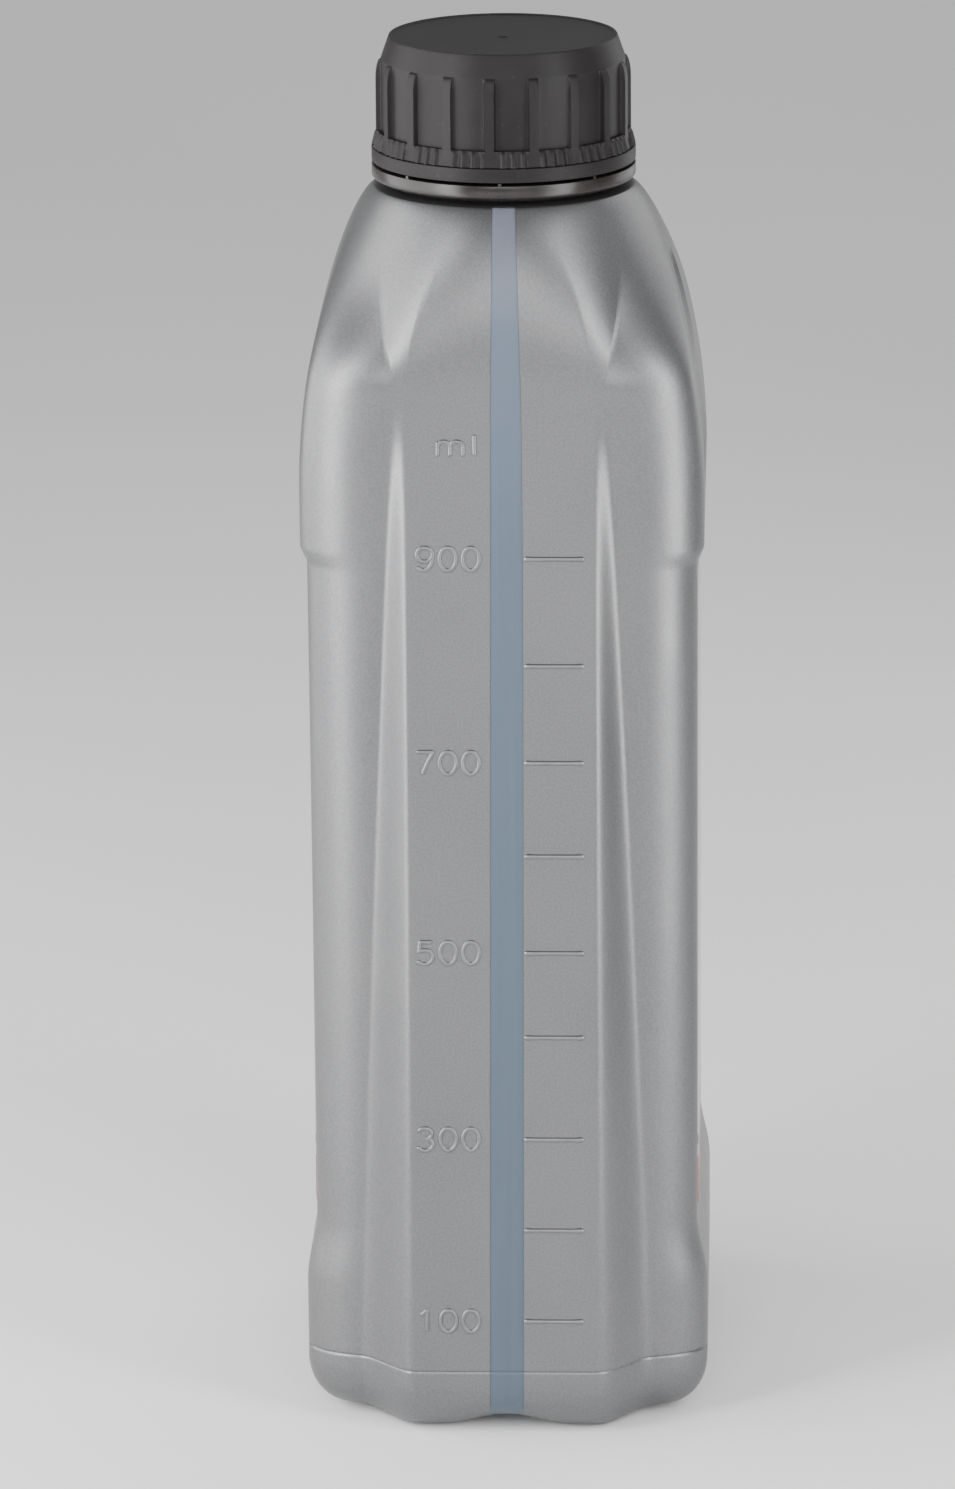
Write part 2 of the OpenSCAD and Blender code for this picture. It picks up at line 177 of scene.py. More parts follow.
class Level:
    """The skin's outline at height z, t inside the body."""

    def __init__(self, z, t):
        self.z, self.t = z, t
        top = min(BODY_H, z + SKIN_LEAN * t) if z > SIDE_Z else z
        cut = edge_in(z, t) + t + (groove(z) if t == 0 else 0)
        self.w = side_reach(top) + flare(z) - panel_in(z) - cut
        front = reach(top, HALF_L, LEDGE_R + NECK_OFF, FRONT_Z, END_BULGE)
        back = reach(top, HALF_L, LEDGE_R - NECK_OFF, BACK_Z, END_BULGE)
        self.l, self.mid = (front + back) / 2 - cut, (back - front) / 2
        part = min(max(z / STEP_TOP_Z, 0), 1)
        self.step_in = STEP_IN * (1 - part ** 2)
        self.step_w = mix(STEP_TOP_W, STEP_W, (1 - part) ** 0.8)
        self.step_x = SPINE_X - t / 2
        self.cw = CORNER_W - t - edge_in(z, t) - panel_in(z)
        self.cl = CORNER_L - t - edge_in(z, t)
        self.round = float(ease((z - BODY_H + ROUND_H) / ROUND_H))

    def line(self, x):
        """How far the narrow side reaches out at x."""
        cx = self.w - self.cw
        u = np.clip((x - cx) / self.cw, 0, 1)
        return (self.l - self.step_in * ease((x - self.step_x) / self.step_w)
                - self.cl * (1 - np.sqrt(1 - u * u)))

    def side(self, q):
        """Point of a narrow side at q from 0, its middle, to Q_CORNER, the wide face."""
        s, e = self.step_x, self.step_x + self.step_w
        slope, corner = Q_SLOPE - Q_SPINE, Q_CORNER - Q_SLOPE
        bend = np.radians(90 / corner * np.clip(q - Q_SLOPE, 0, corner))
        x = np.where(q <= Q_SPINE, s * q / Q_SPINE,
                     np.where(q <= Q_SLOPE, mix(s, e, (q - Q_SPINE) / slope),
                              mix(e, self.w, np.sin(bend))))
        a = np.radians(90 * q / Q_ALL)
        return (mix(x, self.w * np.sin(a), self.round),
                mix(self.line(x), self.l * np.cos(a), self.round))

    def wide(self, f):
        """Point of a wide face at f from 0, its middle, to 1, the corner."""
        a = np.radians(90 * (Q_ALL - (Q_ALL - Q_CORNER) * f) / Q_ALL)
        return (mix(self.w, self.w * np.sin(a), self.round),
                mix(self.line(self.w) * f, self.l * np.cos(a), self.round))


def skin_place(level, x, y):
    """Moves a point of the outline to the skin, which narrows behind the neck."""
    y = level.mid + y
    behind = np.maximum(0, y + NECK_OFF)
    drop = SHOULDER_DROP * behind ** 2 / (behind + LEDGE_R)
    return x * side_reach(level.z + drop) / side_reach(level.z), y


def underside(x):
    """Height of the underside over the table: an arch between two feet."""
    u, inner = abs(x), SPINE_X - FOOT_W
    if u < inner:
        return ARCH_H * (1 + math.cos(math.pi * u / inner)) / 2
    if u <= SPINE_X:
        return 0.0
    return float(SIDE_RISE * ease((u - SPINE_X) / (HALF_W + BASE_OUT - EDGE_IN - SPINE_X)))


def lift(x, z, t):
    """Carries the underside's shape up into the lower edge."""
    if z >= EDGE_H:
        return z
    return z + underside(x) * (1 - (z - t) / (EDGE_H - t)) ** 2


# View strip: heights and the places of its two edges across the narrow side
STRIP_Z = [0, 6.5, 21.4, 98.5, 159.0, 186.9, 203.8, 218.6]
STRIP_LEFT = [-2.82, -2.77, -2.64, -2.13, -1.74, -1.56, -1.34, -1.31]
STRIP_RIGHT = [3.16, 3.20, 3.31, 3.64, 3.88, 3.70, 3.22, 2.59]
STRIP_DEEP = 0.45


def strip_edges(z):
    return float(np.interp(z, STRIP_Z, STRIP_LEFT)), float(np.interp(z, STRIP_Z, STRIP_RIGHT))


def strip_q(level):
    """Places of the strip's edges as q, at this level."""
    q = np.linspace(0, 6, 61)
    x = level.side(q)[0]
    left, right = strip_edges(level.z)
    return -float(np.interp(-left, x, q)), float(np.interp(right, x, q))


OUTER_Q = np.concatenate([np.linspace(Q_CORNER, Q_SLOPE, 25)[:-1],
                          np.linspace(Q_SLOPE, Q_SPINE, 23)[:-1]])
SPINE_N, STRIP_N = 12, 6


def wide_places():
    """Places across a wide face: even ones, and closer ones at the fine ridges."""
    even = set(np.linspace(-1, 1, 29)[1:-1].round(4))
    close = {round(-f + d, 4) for f in RIDGE_F
             for d in (-.028, -.018, -.009, 0, .009, .018, .028)}
    both = sorted(even | close)
    return np.array([f for k, f in enumerate(both) if k == 0 or f - both[k - 1] > 0.004])


WIDE_F = wide_places()


def side_row(level):
    """q across the whole narrow side, with doubled places at the strip's edges."""
    ql, qr = strip_q(level)
    return np.concatenate([
        -OUTER_Q, np.linspace(-Q_SPINE, ql, SPINE_N), np.linspace(ql, qr, STRIP_N + 1),
        np.linspace(qr, Q_SPINE, SPINE_N), OUTER_Q[::-1]])


STRIP_FROM = len(OUTER_Q) + SPINE_N
SIDE_COUNT = 2 * len(OUTER_Q) + 2 * SPINE_N + STRIP_N + 1


def ridges(z, f):
    """Fine ridges on the shoulder of the +X face."""
    (low, rise), (high, fall) = RIDGE_LOW, RIDGE_HIGH
    fade = float(ease((z - low) / rise) * (1 - ease((z - high) / fall)))
    return RIDGE_OUT * fade * sum(math.exp(-((f + c) / RIDGE_W) ** 2) for c in RIDGE_F)


def ring_points(z, t, detail):
    """One closed ring of the skin, with the strip's channel and the ridges if detail."""
    level = Level(z, t)
    q = side_row(level)
    x, y = level.side(np.abs(q))
    x = np.sign(q) * x
    deep = np.zeros(SIDE_COUNT)
    if detail:
        deep[STRIP_FROM:STRIP_FROM + STRIP_N + 1] = STRIP_DEEP
    wx, wy = level.wide(np.abs(WIDE_F))
    out = np.array([ridges(z, f) if detail else 0.0 for f in WIDE_F])
    fx, fy = skin_place(level, x, -y)
    bx, by = skin_place(level, x, y)
    sx, sy = skin_place(level, wx, np.sign(WIDE_F) * wy)
    front = list(zip(fx, fy + deep))
    right = list(zip(sx + out, sy))
    back = list(zip(bx[::-1], by[::-1]))
    left = list(zip(-sx[::-1], sy[::-1]))
    return [(a, b, lift(a, z, t)) for a, b in front + right + back + left]


def spread(a, b, n, bend=None):
    """n places from a, left out, to b."""
    return [mix(a, b, bend(i / n) if bend else i / n) for i in range(1, n + 1)]


def quarter_sine(u):
    return math.sin(math.pi / 2 * u)


def skin_rows(t, fine):
    """Heights of the skin's rings, four times as close where fine."""
    k = 1 if fine else 4
    edge = [t + (EDGE_H - t) * (1 - math.cos(math.pi / 2 * i * k / 16))
            for i in range(16 // k + 1)]
    line = [11.3, 11.6, 11.75, 11.87, 12.0, 12.13, 12.25, 12.4, 12.7] if fine else []
    low = PANEL_Z - SLOPE_LOW
    return (edge + line + spread((edge + line)[-1], low, 6 // k + 1)
            + spread(low, PANEL_Z, 16 // k) + spread(PANEL_Z, PANEL_TOP, 36 // k)
            + spread(PANEL_TOP, PANEL_TOP + SLOPE_TOP, 12 // k)
            + spread(PANEL_TOP + SLOPE_TOP, FRONT_Z, 32 // k)
            + spread(FRONT_Z, BODY_H - t, 56 // k, quarter_sine))


def pinch(x):
    """Ridge of the pinched seam under the base."""
    return PINCH_OUT * math.exp(-((x - PINCH_X) / PINCH_W) ** 2)


def close_floor(solid, ring, down, seam):
    """Closes a ring with strips along Y, cut at the same places as the wide faces."""
    n, m = SIDE_COUNT, len(WIDE_F)
    front = ring[:n]
    back = ring[n + m:n + m + n][::-1]
    right = ring[n:n + m]
    left = ring[2 * n + m:][::-1]
    columns = [[front[0]] + left + [back[0]]]
    for j in range(1, n - 1):
        a, b = np.array(solid.points[front[j]]), np.array(solid.points[back[j]])
        inner = []
        for f in WIDE_F:
            p = mix(a, b, (f + 1) / 2)
            p[2] -= seam * pinch(p[0])
            inner.append(tuple(p))
        columns.append([front[j]] + solid.add(inner) + [back[j]])
    columns.append([front[-1]] + right + [back[-1]])
    for low, high in zip(columns, columns[1:]):
        for i in range(m + 1):
            face = (low[i], low[i + 1], high[i + 1], high[i])
            solid.faces.append(face if down else face[::-1])


def neck_profile():
    """From the ledge's outer rim up the outside, over the mouth and down inside."""
    r, c = 0.5, []
    for a in range(0, 91, 18):
        c.append((NECK_R + 1.2 - 1.2 * math.sin(math.radians(a)),
                  BODY_H + 0.05 + 1.2 - 1.2 * math.cos(math.radians(a))))
    bead = [(NECK_R, BEAD_Z - 0.2), (BEAD_R - 0.3, BEAD_Z), (BEAD_R, BEAD_Z + 0.25),
            (BEAD_R, BEAD_Z + 0.7), (BEAD_R - 0.35, BEAD_Z + 1.1), (NECK_R + 0.1, BEAD_Z + BEAD_H),
            (NECK_R, BEAD_Z + BEAD_H + 0.4)]
    top = [(NECK_R, MOUTH_Z - r)] + [
        (NECK_R - r + r * math.cos(math.radians(a)), MOUTH_Z - r + r * math.sin(math.radians(a)))
        for a in (30, 60, 90)] + [
        (MOUTH_R + 0.4, MOUTH_Z), (MOUTH_R, MOUTH_Z - 0.4)]
    return ([(LEDGE_R - 0.5, BODY_H + 0.05)] + c + bead + top
            + [(MOUTH_R, BODY_H + 3), (MOUTH_R, BODY_H + 1), (MOUTH_R + 0.4, BODY_H - WALL)])


def add_thread(solid, r0, out, height, z0, pitch, turns):
    step = 5
    n = int(turns * 360 / step)
    rings = []
    for i in range(n + 1):
        a = math.radians(i * step)
        m = min(1, i / 8, (n - i) / 8)
        r = mix(r0 - 0.2, r0 + out, m)
        z = z0 + pitch * i * step / 360
        section = [(r0 - 0.5, -height / 2), (mix(r0, r, 0.55), -height / 2 * 0.62),
                   (r, -height / 2 * 0.3), (r, height / 2 * 0.3),
                   (mix(r0, r, 0.55), height / 2 * 0.62), (r0 - 0.5, height / 2)]
        rings.append(solid.add([around(p, a, z + h) for p, h in section]))
    for low, high in zip(rings, rings[1:]):
        for k in range(6):
            j = (k + 1) % 6
            solid.faces.append((low[k], high[k], high[j], low[j]))
    solid.fan(rings[0])
    solid.fan(rings[-1], flip=True)


def build_bottle(material):
    s = Solid()
    outer = [s.add(ring_points(z, 0, True)) for z in skin_rows(0, True)]
    for low, high in zip(outer, outer[1:]):
        s.band(low, high)
    close_floor(s, outer[0], True, 1.0)
    top = [s.points[i] for i in outer[-1]]
    angles = [math.atan2(x, -NECK_OFF - y) for x, y, z in top]
    last = outer[-1]
    for r, z in neck_profile():
        ring = s.add([around(r, a, z) for a in angles])
        s.band(last, ring)
        last = ring
    for z in reversed(skin_rows(WALL, False)):
        ring = s.add(ring_points(z, WALL, False))
        s.band(last, ring)
        last = ring
    close_floor(s, last, False, 0.0)
    thread_z = MOUTH_Z - THREAD_OFF - THREAD_H / 2 - THREAD_PITCH * THREAD_TURNS
    add_thread(s, NECK_R, THREAD_OUT, THREAD_H, thread_z, THREAD_PITCH, THREAD_TURNS)
    return s.make("bottle_skin", material, 50)


def build_strip(material):
    """Slab of clearer plastic that fills the channel of the front spine."""
    s = Solid()
    rings = []
    for z in skin_rows(0, True):
        level = Level(z, 0)
        ql, qr = strip_q(level)
        q = np.linspace(ql, qr, STRIP_N + 3)
        x, y = level.side(np.abs(q))
        x = np.sign(q) * x
        x[0] += 0.03
        x[-1] -= 0.03
        crown = 0.02 + 0.06 * np.abs(np.linspace(-1, 1, len(q))) ** 6
        x, y = skin_place(level, x, -y)
        outside = [(a, b + c, lift(a, z, 0)) for a, b, c in zip(x, y, crown)]
        inside = [(a, b + STRIP_DEEP - 0.02, lift(a, z, 0)) for a, b in zip(x[::-1], y[::-1])]
        rings.append(s.add(outside + inside))
    for low, high in zip(rings, rings[1:]):
        s.band(low, high)
    s.fan(rings[0], flip=True)
    s.fan(rings[-1])
    return s.make("view_strip", material, 50)


# Level scale

MARK_Z = [21.5, 38.3, 55.0, 73.6, 88.9, 106.3, 123.0, 140.2, 159.1]
MARK_HALF, MARK_OUT, STROKE_HALF, STROKE_OUT = 0.42, 0.34, 0.40, 0.32

# The ends of the marks and of the numerals drift across the side with height
SCALE_Z, MARK_FROM, MARK_TO = [21.4, 88.9, 159.0], [3.36, 3.73, 4.11], [13.82, 14.04, 14.27]
NUMERAL_END, NUMERAL_H, NUMERAL_W, NUMERAL_GAP = [-4.27, -3.8, -3.32], 4.25, 3.4, 0.55


def arc(cx, cy, rx, ry, a0, a1, n=14):
    return [(cx + rx * math.cos(math.radians(mix(a0, a1, i / n))),
             cy + ry * math.sin(math.radians(mix(a0, a1, i / n)))) for i in range(n + 1)]


GLYPHS = {
    "0": [arc(.5, .5, .42, .47, 90, 450, 28)],
    "1": [[(.22, .76), (.40, .84), (.56, .97), (.56, .5), (.56, .03)]],
    "3": [arc(.47, .735, .35, .235, 160, -80) + arc(.47, .27, .41, .26, 80, -160)],
    "5": [[(.86, .96), (.55, .96), (.24, .96), (.17, .52)]
          + arc(.47, .32, .42, .30, 128, -150)],
    "7": [[(.08, .96), (.5, .96), (.92, .96), (.62, .5), (.36, .03)]],
    "9": [arc(.5, .68, .40, .29, 0, 360, 24),
          [(.90, .68), (.89, .5), (.84, .3), (.7, .12), (.5, .04), (.3, .06), (.14, .17)]],
    "m": [[(.05, 0), (.05, .3), (.05, .62)],
          [(.05, .40)] + arc(.27, .38, .21, .23, 165, 0) + [(.48, .2), (.48, 0)],
          [(.48, .40)] + arc(.71, .38, .22, .23, 165, 0) + [(.93, .2), (.93, 0)]],
    "l": [[(.1, 1), (.1, .5), (.13, .12), (.4, .02)]],
}


def smooth_path(path, step):
    """Even points along a line."""
    p = np.array(path, float)
    d = np.concatenate([[0], np.cumsum(np.hypot(*np.diff(p, axis=0).T))])
    n = max(2, int(round(d[-1] / step)))
    at = np.linspace(0, d[-1], n + 1)
    return np.stack([np.interp(at, d, p[:, 0]), np.interp(at, d, p[:, 1])], 1)


def stroke(solid, path, half, out, knob=1.0):
    """Rounded raised line on the spine, along a path in X and Z, with thicker ends."""
    closed = np.hypot(*(path[0] - path[-1])) < 1e-6
    if closed:
        path = path[:-1]
    n = len(path)
    section = [(-1.0, -0.5), (-1.0, 0.0), (-0.86, 0.5), (-0.5, 0.87), (0, 1.0),
               (0.5, 0.87), (0.86, 0.5), (1.0, 0.0), (1.0, -0.5)]
    rings = []
    for i in range(n):
        a = path[(i - 1) % n] if closed or i > 0 else path[i]
        b = path[(i + 1) % n] if closed or i < n - 1 else path[i]
        d = (b - a) / max(1e-9, np.hypot(*(b - a)))
        side = np.array([-d[1], d[0]])
        k = 1.0
        if not closed:
            gap = min(i, n - 1 - i)
            k = {0: 0.55 * knob, 1: 0.92 * knob, 2: knob}.get(
                gap, mix(knob, 1.0, min(1, (gap - 2) / 3)))
        ring = []
        for s, h in section:
            x, z = path[i] + side * s * half * k
            ring.append((x, -HALF_L - (h * out if h > 0 else h * 0.6) * (k if h > 0 else 1), z))
        rings.append(solid.add(ring))
    pairs = list(zip(rings, rings[1:])) + ([(rings[-1], rings[0])] if closed else [])
    for low, high in pairs:
        solid.band(low, high)
    if not closed:
        solid.fan(rings[0], flip=True)
        solid.fan(rings[-1])


def write(solid, word, x_right, z_mid, height, width, gap):
    total = len(word) * width + (len(word) - 1) * gap
    x = x_right - total
    for c in word:
        for line in GLYPHS[c]:
            pts = [(x + u * width, z_mid + (v - 0.5) * height) for u, v in line]
            stroke(solid, smooth_path(pts, 0.16), STROKE_HALF, STROKE_OUT)
        x += width + gap


def build_scale(material):
    s = Solid()
    for i, z in enumerate(MARK_Z):
        x0, x1, end = (float(np.interp(z, SCALE_Z, x)) for x in (MARK_FROM, MARK_TO, NUMERAL_END))
        stroke(s, smooth_path([(x0, z), (x1, z)], 0.3), MARK_HALF, MARK_OUT, 1.22)
        if i % 2 == 0:
            write(s, str(i + 1) + "00", end, z, NUMERAL_H, NUMERAL_W, NUMERAL_GAP)
    write(s, "l", -3.5, 179.0, 3.7, 0.9, 0)
    write(s, "m", -5.88, 179.2, 4.2, 4.9, 0)
    return s.make("level_scale", material, 60)


# Closure

def rib_columns():
    """Angles around the cap in degrees, each with its distance from the nearest rib's
    middle, in half widths of a rib."""
    half = math.degrees(RIB_W / 2 / (CAP_R + RIB_OUT))
    near = [0, half * 0.55, half * 0.9, half, half * 1.06, half * 1.2]
    far = [mix(half * 1.2, 10, k) for k in (0.12, 0.3, 0.55, 0.8)]
    one = [-a for a in reversed(far)] + [-a for a in near[:0:-1]] + near + far + [10]
    rows = []
    for k in range(RIB_N):
        rows += [(20 * k + a, abs(a) / half) for a in one]
    return rows


def rib_profile():
    """Height, wall radius and how far a rib stands out there."""
    cone_z, top_r = CAP_TOP - CONE_H, CAP_R - CONE_IN
    z_list = spread(CAP_Z + RING_H, cone_z - RIB_HEAD, 4)
    rows = [(CAP_Z + RING_H, CAP_R, RIB_OUT)] + [(z, CAP_R, RIB_OUT) for z in z_list]
    for a in range(10, 91, 10):
        rows.append((cone_z - RIB_HEAD + RIB_HEAD * math.sin(math.radians(a)), CAP_R,
                     RIB_OUT * math.cos(math.radians(a))))
    rows += [(mix(cone_z, CAP_TOP - 0.35, k), mix(CAP_R, top_r + 0.12, k), 0)
             for k in (0.05, 0.15, 0.4, 0.7, 1.0)]
    return rows


def build_cap(material):
    s = Solid()
    columns = rib_columns()
    angles = [math.radians(a + RIB_TURN + 90) for a, k in columns]
    rings = []
    for z, r, out in rib_profile():
        ring = []
        for a, (_, k) in zip(angles, columns):
            m = 1 - float(ease((k - 0.93) / 0.2))
            fillet = 0.10 * math.exp(-max(0, k - 1.1) * 3)
            rr = r + out * max(m, min(fillet, 1))
            ring.append(around(rr, a, z))
        rings.append(s.add(ring))
    top_r = CAP_R - CONE_IN
    rim_z = CAP_TOP - 0.3
    profile = [(top_r + 0.04, CAP_TOP - 0.18), (top_r - 0.06, CAP_TOP - 0.05),
               (top_r - 0.2, CAP_TOP), (top_r - 0.42, CAP_TOP - 0.02),
               (top_r - 0.62, CAP_TOP - 0.16), (top_r - 0.8, rim_z)]
    profile += [(r, rim_z - 0.28 * (1 - (r / 18.8) ** 2)) for r in (17, 14, 10.5, 7, 4, 2)]
    for r, z in profile:
        rings.append(s.add([around(r, a, z) for a in angles]))
    inside = MOUTH_Z + 1.2
    under = [(CAP_R + 0.2, CAP_Z + 0.35), (CAP_R - 0.1, CAP_Z), (CAP_BORE + 0.2, CAP_Z),
             (CAP_BORE, CAP_Z + 0.2), (CAP_BORE, inside - 0.6), (CAP_BORE - 0.6, inside),
             (12, inside), (5, inside)]
    low = [s.add([around(r, a, z) for a in angles]) for r, z in under]
    for a, b in zip(rings, rings[1:]):
        s.band(a, b)
    s.band(low[0], rings[0])
    for a, b in zip(low, low[1:]):
        s.band(b, a)
    s.fan(rings[-1])
    s.fan(low[-1], flip=True)
    # Smooth ring at the foot
    z0, z1 = CAP_Z, CAP_Z + RING_H
    lathe(s, [(CAP_R - 0.2, z1 - 0.12), (CAP_R - 0.2, z0 + 0.02), (RING_R - 0.18, z0 + 0.02),
              (RING_R - 0.04, z0 + 0.08), (RING_R, z0 + 0.3), (RING_R, z1 - 0.35),
              (RING_R - 0.06, z1 - 0.2), (RING_R - 0.3, z1 - 0.12)][::-1], turn(240))
    # Knurled collar, with teeth that lean out towards the ring
    per = KNURL_STEPS
    count = KNURL_N * per
    rows = []
    z2 = z1 + COLLAR_H
    for k in (-0.02, 0.0, 0.12, 0.3, 0.5, 0.7, 0.88, 1.0):
        z = mix(z1 - 0.02, z2, max(k, 0))
        base = mix(RING_R - 0.42, CAP_R + 0.62, max(k, 0) ** 1.1)
        ring = []
        for i in range(count):
            a = 2 * math.pi * i / count
            u = (i % per) / per
            tooth = max(0.0, math.sin(math.pi * min(1, u * 1.5)) if u < 2 / 3 else 0.0)
            off = ((math.degrees(a) - RIB_TURN - 90 + 10) % 20) - 10
            plain = 1 - float(ease((abs(off) - 2.4) / 0.9))
            amp = KNURL_OUT * min(1, max(0, (1.02 - k) * 5))
            rr = base + mix(amp * tooth, max(0, CAP_R + RIB_OUT - base + 0.02), plain)
            rr = min(rr, RING_R - 0.03) if k >= 0 else CAP_R - 0.2
            ring.append(around(rr, a, z))
        rows.append(s.add(ring))
    rows.append(s.add([around(CAP_R - 0.2, a, z2) for a in turn(count)]))
    for a, b in zip(rows, rows[1:]):
        s.band(a, b)
    s.band(rows[-1], rows[0])
    # Moulding gate nub
    floor = rim_z - 0.28
    nub = [(0.95, floor - 0.2), (0.95, floor + 0.02), (0.8, floor + 0.16), (0.5, floor + 0.2),
           (0.3, floor + 0.12)]
    ring = [s.add([around(r, a, z) for a in turn(24)]) for r, z in nub]
    for a, b in zip(ring, ring[1:]):
        s.band(a, b)
    s.fan(ring[0], flip=True)
    s.fan(ring[-1])
    return s.make("screw_cap", material, 32)


def build_band(material):
    s = Solid()
    z0, z1 = BAND_Z, BAND_Z + BAND_H
    lathe(s, [(NECK_R + 0.6, z0 + 0.75), (CAP_BORE - 0.1, z0 + 0.04), (RING_R - 0.75, z0),
              (RING_R - 0.62, z0 + 0.05), (RING_R - 0.07, z0 + 0.62), (RING_R, z0 + 0.8),
              (RING_R, z1 - 0.2), (RING_R - 0.06, z1 - 0.06), (RING_R - 0.2, z1),
              (CAP_BORE + 0.1, z1), (CAP_BORE, z1 - 0.1), (CAP_BORE, z0 + 1.8),
              (NECK_R + 0.6, z0 + 1.75)], turn(288))
    # Stubs of the small bridges to the cap
    for i in range(BRIDGE_N):
        a = math.radians(360 / BRIDGE_N * i)
        c, n = Vector((math.sin(a), -math.cos(a))), Vector((math.cos(a), math.sin(a)))
        ring = []
        for z, w in ((z1 - 0.3, 0.42), (z1 + 0.12, 0.34), (z1 + 0.3, 0.28),
                     (z1 + BAND_GAP - BRIDGE_FREE, 0.3)):
            pts = []
            for u, v in ((-w, 0.0), (-w * 0.9, 0.9), (w * 0.9, 0.9), (w, 0.0)):
                p = c * (RING_R - 1.15 + v * 1.12) + n * u
                pts.append((p.x, p.y - NECK_OFF, z))
            ring.append(s.add(pts))
        for low, high in zip(ring, ring[1:]):
            s.band(low, high, flip=True)
        s.fan(ring[0])
        s.fan(ring[-1], flip=True)
    return s.make("band_ring", material, 35)


# Materials

class Paint:
    """A node material around one Principled shader."""

    def __init__(self, name, **values):
        self.material = bpy.data.materials.new(name)
        self.material.use_nodes = True
        self.tree = self.material.node_tree
        self.shader = self.tree.nodes["Principled BSDF"]
        for key, value in values.items():
            self.shader.inputs[key.replace("_", " ")].default_value = value
        self.place = self.node("ShaderNodeTexCoord").outputs["Object"]

    def node(self, kind, links=None, **values):
        n = self.tree.nodes.new(kind)
        for key, value in values.items():
            n.inputs[key].default_value = value
        for key, source in (links or {}).items():
            self.tree.links.new(source, n.inputs[key])
        return n

    def link(self, source, key):
        self.tree.links.new(source, self.shader.inputs[key])

    def noise(self, scale, detail=2.0, rough=0.5, stretch=None):
        place = self.place
        if stretch:
            place = self.node("ShaderNodeMapping", {"Vector": place}).outputs[0]
            place.node.inputs["Scale"].default_value = stretch
        return self.node("ShaderNodeTexNoise", {"Vector": place}, Scale=scale, Detail=detail,
                         Roughness=rough).outputs["Fac"]

    def ramp(self, source, stops):
        n = self.node("ShaderNodeValToRGB", {"Fac": source})
        ramp = n.color_ramp
        while len(ramp.elements) < len(stops):
            ramp.elements.new(0.5)
        for e, (at, colour) in zip(ramp.elements, stops):
            e.position = at
            e.color = (*colour, 1)
        return n.outputs["Color"]

    def range(self, source, a, b, low, high):
        n = self.node("ShaderNodeMapRange", {"Value": source})
        for key, value in zip(("From Min", "From Max", "To Min", "To Max"), (a, b, low, high)):
            n.inputs[key].default_value = value
        return n.outputs["Result"]

    def blend(self, fac, a, b):
        n = self.node("ShaderNodeMix")
        n.data_type = "RGBA"
        for key, value in (("Factor", fac), ("A", a), ("B", b)):
            socket = [i for i in n.inputs if i.name == key and
                      (i.type == "RGBA" or key == "Factor" and i.type == "VALUE")][0]
            if isinstance(value, bpy.types.NodeSocket):
                self.tree.links.new(value, socket)
            else:
                socket.default_value = (*value, 1)
        return [o for o in n.outputs if o.type == "RGBA"][0]

    def product(self, a, b):
        n = self.node("ShaderNodeMath")
        n.operation = "MULTIPLY"
        for socket, value in zip(n.inputs, (a, b)):
            self.tree.links.new(value, socket)
        return n.outputs[0]

    def colour(self, source):
        self.link(source, "Base Color")

    def rough(self, scale, detail, low, high):
        """Roughness that wanders from low to high."""
        self.link(self.range(self.noise(scale, detail), 0.3, 0.7, low, high), "Roughness")

    def bump(self, source, strength, distance, before=None):
        links = {"Height": source}
        if before is not None:
            links["Normal"] = before
        n = self.node("ShaderNodeBump", links, Strength=strength, Distance=distance)
        self.link(n.outputs["Normal"], "Normal")
        return n.outputs["Normal"]


def body_paint():
    p = Paint("silver_grey_plastic", Metallic=0.9, IOR=1.5)
    cloud = p.noise(22, 3, 0.6)
    fleck = p.noise(2600, 1, 0.5)
    base = p.ramp(cloud, [(0.3, (0.155, 0.157, 0.163)), (0.7, (0.175, 0.177, 0.181))])
    p.colour(p.blend(p.range(fleck, 0.35, 0.65, 0.0, 0.35), base, (0.25, 0.25, 0.254)))
    p.rough(60, 3, 0.36, 0.42)
    grain = p.bump(p.noise(1500, 2, 0.6), 0.35, 0.00006)
    p.bump(p.noise(240, 2, 0.5), 0.12, 0.00012, grain)
    return p.material


def scale_paint():
    p = Paint("silver_grey_plastic_raised_painted_highlight", Metallic=0.9, IOR=1.5)
    # Lighter colour than the body's, though moulded in the same plastic: a painted highlight on
    # the raised marks and numerals.
    base = p.ramp(p.noise(500, 2), [(0.3, (0.18, 0.182, 0.188)), (0.7, (0.21, 0.212, 0.216))])
    p.colour(base)
    p.rough(90, 2, 0.30, 0.36)
    p.bump(p.noise(1500, 2, 0.6), 0.2, 0.00004)
    return p.material


def strip_paint():
    p = Paint("view_strip_plastic", IOR=1.5, Subsurface_Weight=0.25,
              Subsurface_Scale=0.004, Subsurface_Radius=(0.6, 0.9, 1.0))
    x = p.node("ShaderNodeSeparateXYZ", {"Vector": p.place}).outputs
    # The strip's colour grades lighter with height and much lighter near the top, where it turns
    # up over the shoulder to the neck: that is painted light from above. The deep blue is the
    # strip's own colour.
    tone_with_painted_top_light = p.ramp(p.range(x["Z"], 0.0, 0.212, 0.0, 1.0),
                  [(0.0, (0.055, 0.078, 0.106)), (0.75, (0.062, 0.090, 0.125)),
                   (0.93, (0.088, 0.116, 0.160)), (1.0, (0.120, 0.132, 0.165))])
    streak = p.noise(900, 3, 0.6, (1.0, 1.0, 0.012))
    tone_with_painted_top_light = p.blend(p.range(streak, 0.3, 0.8, 0.0, 0.30), tone_with_painted_top_light, (0.090, 0.122, 0.165))
    p.colour(tone_with_painted_top_light)
    p.rough(70, 2, 0.30, 0.38)
    p.bump(p.noise(1500, 2, 0.6), 0.15, 0.00004)
    return p.material


